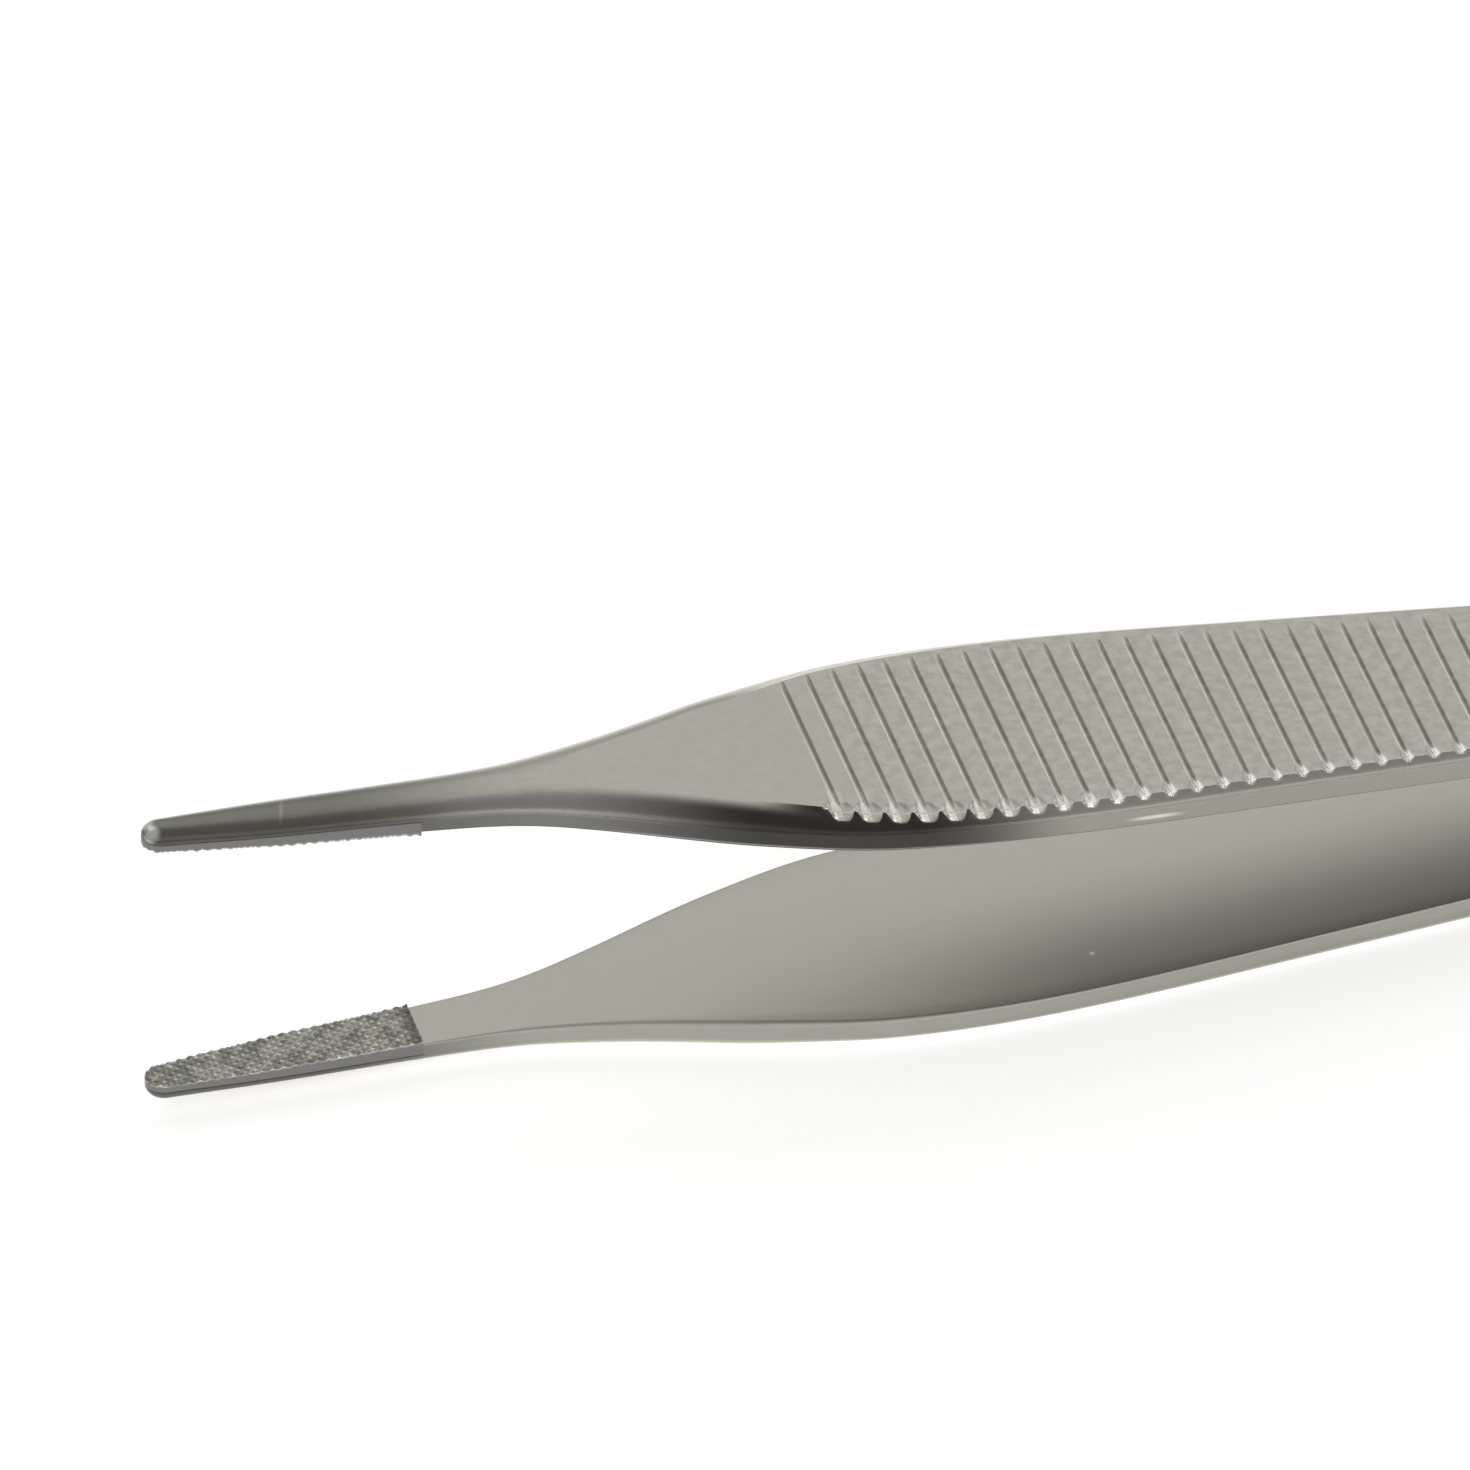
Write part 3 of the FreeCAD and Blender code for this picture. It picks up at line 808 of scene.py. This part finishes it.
    colour = finish.layered(satin_face(finish, place, along, turn, mottle), [
        (painted_jaw_shade, (0.10, 0.097, 0.086)),
        (wall_shade, wall_tone),
        (far_wall_shade, (0.12, 0.12, 0.115)),
        (far_edge_highlight * 0.7, (0.93, 0.91, 0.82)),
        (far_rim_highlight * 0.6, (0.93, 0.91, 0.84)),
        (neck_sheen * 0.35, (0.66, 0.63, 0.69)),
        (bevel_highlight * 0.4, (0.86, 0.84, 0.76)),
        (painted_flank_shade * 0.94, (0.055, 0.052, 0.046)),
        (inner_shade * 0.47, (0.16, 0.155, 0.15)),
        (lip_highlight * ridged * 0.55, (0.80, 0.79, 0.72)),
        (run_out * off_scoop * 0.6, (0.90, 0.88, 0.80)),
        # Painted light: the scoops' insides are lightened towards the face's tone
        ((1 - off_scoop) * 0.35, (0.74, 0.73, 0.66)),
        (polish_and_glint * 0.85, (0.98, 0.97, 0.93)),
        *marks_and_highlights(finish, place, scooped_side),
        (lower_edge_highlight * 0.5, (0.50, 0.48, 0.50)),
    ])
    rough = 0.36 + 0.10 * (grain - 0.5) - 0.08 * flank - 0.12 * polish_and_glint
    bump = finish.bump(grain + mottle * 0.6, 0.2, 0.02)
    return finish.surface(Base_Color=colour, Metallic=1.0, Roughness=rough, Normal=bump)


def hard_insert():
    """Matt hard metal in lighter and darker patches, with near-white flecks on the teeth's tops."""
    finish = Finish("hard_insert")
    place = attribute(finish, "place")
    along = finish.parts(place)[0]
    turn, cut = finish.parts(attribute(finish, "lie"))[:2]
    speckle = finish.noise(place, 4.0, 3.0, 0.65)
    lighter_patches = finish.ramp(finish.noise(place, 1.4, 2.0, 0.6), 0.36, 0.60)
    hatched = finish.ramp(turn, 1.6, 1.9)
    tops = (finish.ramp(cut * -1, -0.06, -0.012) * hatched * finish.ramp(speckle, 0.35, 0.62)
            * (0.5 + 0.5 * lighter_patches))
    # Painted shadow on the bite face just before the insert's root
    painted_root_shadow = finish.ramp(along, INSERT_LENGTH - 0.9, INSERT_LENGTH - 0.1) * hatched
    grooves = finish.mix(lighter_patches, (0.35, 0.343, 0.302), (0.60, 0.59, 0.52))
    colour = finish.layered(finish.mix(hatched, (0.22, 0.218, 0.21), grooves), [
        (tops, (1.0, 0.99, 0.92)),
        (painted_root_shadow * 0.6, (0.12, 0.118, 0.11)),
    ])
    bump = finish.bump(speckle, 0.3, 0.01)
    return finish.surface(Base_Color=colour, Metallic=1.0, Roughness=0.42, Normal=bump)


def build_forceps():
    steel = satin_steel()
    hard = hard_insert()
    arm = arm_skin()
    insert = insert_skin()
    for over, side in ((False, "upper"), (True, "lower")):
        arm.piece(side + "_arm_ground", over, steel, "satin_steel", side + "_arm", crease=1.0)
        insert.piece(side + "_insert_hatched", over, hard, "hard_insert", side + "_jaw_insert", crease=0.5)


def build_floor():
    """A plain white floor that keeps the forceps' soft shadow."""
    finish = Finish("studio_floor")
    white = finish.node("ShaderNodeBsdfDiffuse", None, {"Color": (0.86, 0.86, 0.86)})
    glow = finish.node("ShaderNodeEmission", None, {"Color": (1.0, 1.0, 1.0), "Strength": 0.66})
    path = finish.node("ShaderNodeLightPath")
    seen = [Value(finish, path.socket.node.outputs[name])
            for name in ("Is Camera Ray", "Is Glossy Ray", "Is Transmission Ray")]
    lit = finish.node("ShaderNodeAddShader", None, [white, glow])
    shown = seen[0].math("MAXIMUM", seen[1]).math("MAXIMUM", seen[2])
    mixed = finish.node("ShaderNodeMixShader", None, [shown, white, lit])
    finish.node("ShaderNodeOutputMaterial", None, [mixed])
    mesh = bpy.data.meshes.new("studio_floor")
    reach = 6.0
    mesh.from_pydata([(-reach, -reach, 0), (reach, -reach, 0), (reach, reach, 0), (-reach, reach, 0)],
                     [], [(0, 1, 2, 3)])
    mesh.materials.append(finish.material)
    floor = bpy.data.objects.new("studio_floor", mesh)
    bpy.context.scene.collection.objects.link(floor)


def softbox(name, place, target, size, power):
    light = bpy.data.lights.new(name, "AREA")
    light.shape = "RECTANGLE"
    light.size, light.size_y = size
    light.energy = power
    box = bpy.data.objects.new(name, light)
    box.location = place
    aim = Vector(target) - Vector(place)
    box.rotation_euler = aim.to_track_quat("-Z", "Y").to_euler()
    bpy.context.scene.collection.objects.link(box)
    return box


def build_light():
    world = bpy.data.worlds.new("studio")
    world.use_nodes = True
    world.node_tree.nodes["Background"].inputs["Color"].default_value = (1.0, 1.0, 1.0, 1.0)
    world.node_tree.nodes["Background"].inputs["Strength"].default_value = 0.30
    bpy.context.scene.world = world
    softbox("back_softbox", (0.0, 0.85, 0.70), (0, 0, 0), (1.3, 0.75), 1.9)
    softbox("front_softbox", (0.0, -0.85, 0.55), (0, 0, 0), (1.3, 0.6), 0.85)
    softbox("right_softbox", (0.95, 0.55, 0.30), (0, 0, 0), (0.6, 0.5), 1.1)
    softbox("top_softbox", (0.45, 0.45, 0.9), (0, 0, 0), (0.16, 0.16), 0.45)


# The camera, found from the photograph: direction of view, distance, and the
# point that the middle of the picture looks at
VIEW_TURN = math.radians(14.89)
VIEW_DROP = math.radians(34.96)
VIEW_DISTANCE = 1200.0
VIEW_LENS = 653.9
VIEW_CENTRE = (30.0, -2.54, 5.72)


def build_camera():
    right = Vector((math.cos(VIEW_TURN), -math.sin(VIEW_TURN), 0))
    ahead = Vector((math.sin(VIEW_TURN) * math.cos(VIEW_DROP),
                    math.cos(VIEW_TURN) * math.cos(VIEW_DROP), -math.sin(VIEW_DROP)))
    up = right.cross(ahead)
    along, aside, above = VIEW_CENTRE
    target = Vector((along, 0, 0)) + aside * right + above * up
    eye = target - VIEW_DISTANCE * ahead
    lean = Matrix.Rotation(TILT, 3, "Y")
    turned = lean @ Matrix((right, up, -ahead)).transposed()
    matrix = turned.to_4x4()
    matrix.translation = Vector(laid_down(tuple(eye)))
    lens = bpy.data.cameras.new("camera")
    lens.sensor_width = 36.0
    lens.lens = VIEW_LENS
    lens.clip_start = 0.05
    lens.clip_end = 50.0
    camera = bpy.data.objects.new("camera", lens)
    camera.matrix_world = matrix
    bpy.context.scene.collection.objects.link(camera)
    bpy.context.scene.camera = camera


bpy.context.scene.view_settings.view_transform = "Standard"
build_camera()
build_floor()
build_light()
build_forceps()
